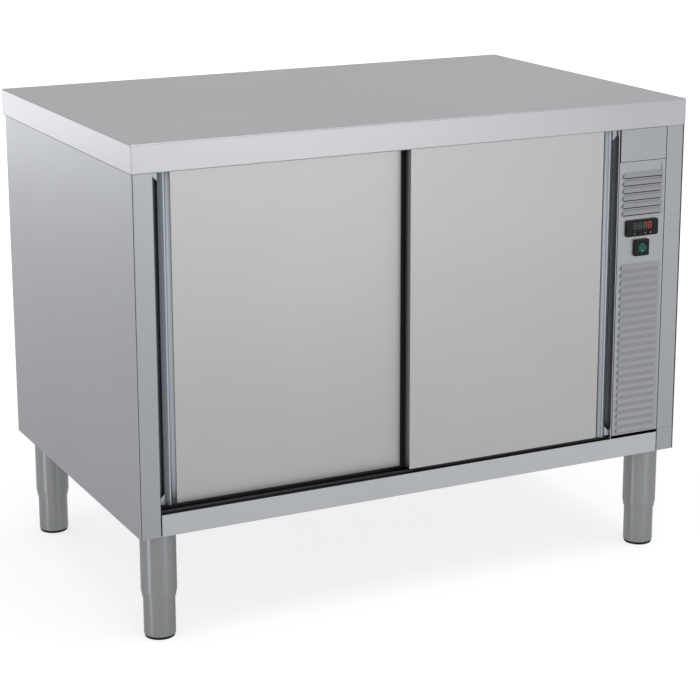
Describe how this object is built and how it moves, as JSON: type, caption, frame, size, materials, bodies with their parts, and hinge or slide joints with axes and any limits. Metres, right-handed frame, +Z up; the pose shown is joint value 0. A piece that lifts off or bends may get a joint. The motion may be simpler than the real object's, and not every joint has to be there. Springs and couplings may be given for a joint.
{
  "type": "food holding cabinet",
  "caption": "Heated stainless steel food holding cabinet with sliding doors, adjustable legs, a perforated shelf and a louvred service bay carrying its thermostat and switch.",
  "frame": {"origin": "on the floor, below the middle of the worktop", "axes": "+X along the width to the right as seen from the front, +Y from the front to the rear, +Z up"},
  "size_m": [1.1, 0.7093, 0.88],
  "materials": {
    "worktop_steel": "satin stainless sheet, brushed along its length",
    "shell_steel": "satin stainless sheet",
    "back_steel": "dull stainless sheet",
    "screw_steel": "zinc-plated, dull",
    "gland_plastic": "black nylon",
    "chamber_steel": "satin stainless liner",
    "insulation_wool": "pressed mineral wool",
    "shelf_steel": "satin stainless",
    "motor_paint": "black enamel",
    "impeller_aluminium": "pressed, plain",
    "element_steel": "heat-tinted steel sheath",
    "track_aluminium": "plain extruded",
    "door_steel": "satin stainless sheet, brushed upright",
    "handle_aluminium": "anodised satin extrusion",
    "hanger_steel": "zinc-plated",
    "roller_nylon": "white nylon",
    "guide_nylon": "black nylon",
    "seal_rubber": "matte black",
    "panel_steel": "satin stainless, louvred",
    "case_plastic": "black, fine grain",
    "window_plastic": "dark tinted",
    "key_plastic": "black, rubbery",
    "bezel_plastic": "black",
    "rocker_plastic": "dark teal",
    "leg_steel": "satin stainless tube",
    "foot_steel": "satin stainless cup",
    "pad_rubber": "black"
  },
  "bodies": {
    "cabinet": {"worktop": "worktop_steel", "side_panel_left": "shell_steel", "side_panel_right": "shell_steel", "stile_left": "shell_steel", "stile_right": "shell_steel", "corner_cap": "shell_steel", "bottom_rail": "shell_steel", "base_pan": "back_steel", "rear_panel": "back_steel", "screws": "screw_steel", "cable_gland": "gland_plastic", "liner_left": "chamber_steel", "liner_rear": "chamber_steel", "liner_floor": "chamber_steel", "liner_ceiling": "chamber_steel", "partition": "chamber_steel", "insulation_slabs": "insulation_wool", "shelf_posts": "shelf_steel", "air_baffle": "chamber_steel", "fan_motor": "motor_paint", "heating_element": "element_steel", "top_track": "track_aluminium", "bottom_track": "track_aluminium", "upper_panel": "panel_steel", "service_panel": "panel_steel", "thermostat_case": "case_plastic", "display_window": "window_plastic", "switch_bezel": "bezel_plastic", "leg_tubes": "leg_steel", "leg_sockets": "leg_steel"},
    "left_door": {"left_door_skin": "door_steel", "left_door_liner": "door_steel", "left_door_handle": "handle_aluminium", "left_door_hangers": "hanger_steel", "left_door_guide": "guide_nylon", "left_door_seal": "seal_rubber"},
    "right_door": {"right_door_skin": "door_steel", "right_door_liner": "door_steel", "right_door_handle": "handle_aluminium", "right_door_hangers": "hanger_steel", "right_door_guide": "guide_nylon"},
    "loose_shelf": {"shelf": "shelf_steel"},
    "fan": {"fan_impeller": "impeller_aluminium"},
    "rocker": {"switch_rocker": "rocker_plastic"},
    "left_door_roller_a": {"left_door_roller_a": "roller_nylon"},
    "left_door_roller_b": {"left_door_roller_b": "roller_nylon"},
    "right_door_roller_a": {"right_door_roller_a": "roller_nylon"},
    "right_door_roller_b": {"right_door_roller_b": "roller_nylon"},
    "key_1": {"thermostat_key_1": "key_plastic"},
    "key_2": {"thermostat_key_2": "key_plastic"},
    "key_3": {"thermostat_key_3": "key_plastic"},
    "key_4": {"thermostat_key_4": "key_plastic"},
    "levelling_foot_front_left": {"foot_front_left": "foot_steel", "foot_pad_front_left": "pad_rubber"},
    "levelling_foot_front_right": {"foot_front_right": "foot_steel", "foot_pad_front_right": "pad_rubber"},
    "levelling_foot_rear_left": {"foot_rear_left": "foot_steel", "foot_pad_rear_left": "pad_rubber"},
    "levelling_foot_rear_right": {"foot_rear_right": "foot_steel", "foot_pad_rear_right": "pad_rubber"}
  },
  "joints": [
    {"name": "left_door_slide", "type": "slide", "parent": "cabinet", "child": "left_door", "axis": [1, 0, 0], "range_m": [-0.009, 0.413]},
    {"name": "right_door_slide", "type": "slide", "parent": "cabinet", "child": "right_door", "axis": [1, 0, 0], "range_m": [-0.483, 0]},
    {"name": "left_door_roller_a_spin", "type": "hinge", "parent": "left_door", "child": "left_door_roller_a", "pos_m": [-0.4317, -0.3135, 0.8533], "axis": [0, 1, 0], "range_deg": [-50, 2160]},
    {"name": "left_door_roller_b_spin", "type": "hinge", "parent": "left_door", "child": "left_door_roller_b", "pos_m": [-0.0787, -0.3135, 0.8533], "axis": [0, 1, 0], "range_deg": [-50, 2160]},
    {"name": "right_door_roller_a_spin", "type": "hinge", "parent": "right_door", "child": "right_door_roller_a", "pos_m": [0.0425, -0.3375, 0.8533], "axis": [0, 1, 0], "range_deg": [-2525, 5]},
    {"name": "right_door_roller_b_spin", "type": "hinge", "parent": "right_door", "child": "right_door_roller_b", "pos_m": [0.335, -0.3375, 0.8533], "axis": [0, 1, 0], "range_deg": [-2525, 5]},
    {"name": "shelf_lift", "type": "slide", "parent": "cabinet", "child": "loose_shelf", "axis": [0, 0, 1], "range_m": [0, 0.03]},
    {"name": "fan_spin", "type": "hinge", "parent": "cabinet", "child": "fan", "pos_m": [0.3885, 0, 0.64], "axis": [1, 0, 0], "continuous": true},
    {"name": "key_1_press", "type": "slide", "parent": "cabinet", "child": "key_1", "axis": [0, 1, 0], "range_m": [0, 0.0006], "stiffness_N_per_m": 1200, "springref_m": -0.0002},
    {"name": "key_2_press", "type": "slide", "parent": "cabinet", "child": "key_2", "axis": [0, 1, 0], "range_m": [0, 0.0006], "stiffness_N_per_m": 1200, "springref_m": -0.0002},
    {"name": "key_3_press", "type": "slide", "parent": "cabinet", "child": "key_3", "axis": [0, 1, 0], "range_m": [0, 0.0006], "stiffness_N_per_m": 1200, "springref_m": -0.0002},
    {"name": "key_4_press", "type": "slide", "parent": "cabinet", "child": "key_4", "axis": [0, 1, 0], "range_m": [0, 0.0006], "stiffness_N_per_m": 1200, "springref_m": -0.0002},
    {"name": "rocker_tilt", "type": "hinge", "parent": "cabinet", "child": "rocker", "pos_m": [0.45875, -0.351, 0.605], "axis": [1, 0, 0], "range_deg": [-12, 0]},
    {"name": "levelling_foot_front_left_adjust", "type": "slide", "parent": "cabinet", "child": "levelling_foot_front_left", "axis": [0, 0, -1], "range_m": [0, 0.04]},
    {"name": "levelling_foot_front_right_adjust", "type": "slide", "parent": "cabinet", "child": "levelling_foot_front_right", "axis": [0, 0, -1], "range_m": [0, 0.04]},
    {"name": "levelling_foot_rear_left_adjust", "type": "slide", "parent": "cabinet", "child": "levelling_foot_rear_left", "axis": [0, 0, -1], "range_m": [0, 0.04]},
    {"name": "levelling_foot_rear_right_adjust", "type": "slide", "parent": "cabinet", "child": "levelling_foot_rear_right", "axis": [0, 0, -1], "range_m": [0, 0.04]}
  ],
  "couplings": [
    {"joint": "left_door_roller_a_spin", "follows": "left_door_slide", "rad_per_m": 90.909},
    {"joint": "left_door_roller_b_spin", "follows": "left_door_slide", "rad_per_m": 90.909},
    {"joint": "right_door_roller_a_spin", "follows": "right_door_slide", "rad_per_m": 90.909},
    {"joint": "right_door_roller_b_spin", "follows": "right_door_slide", "rad_per_m": 90.909}
  ]
}
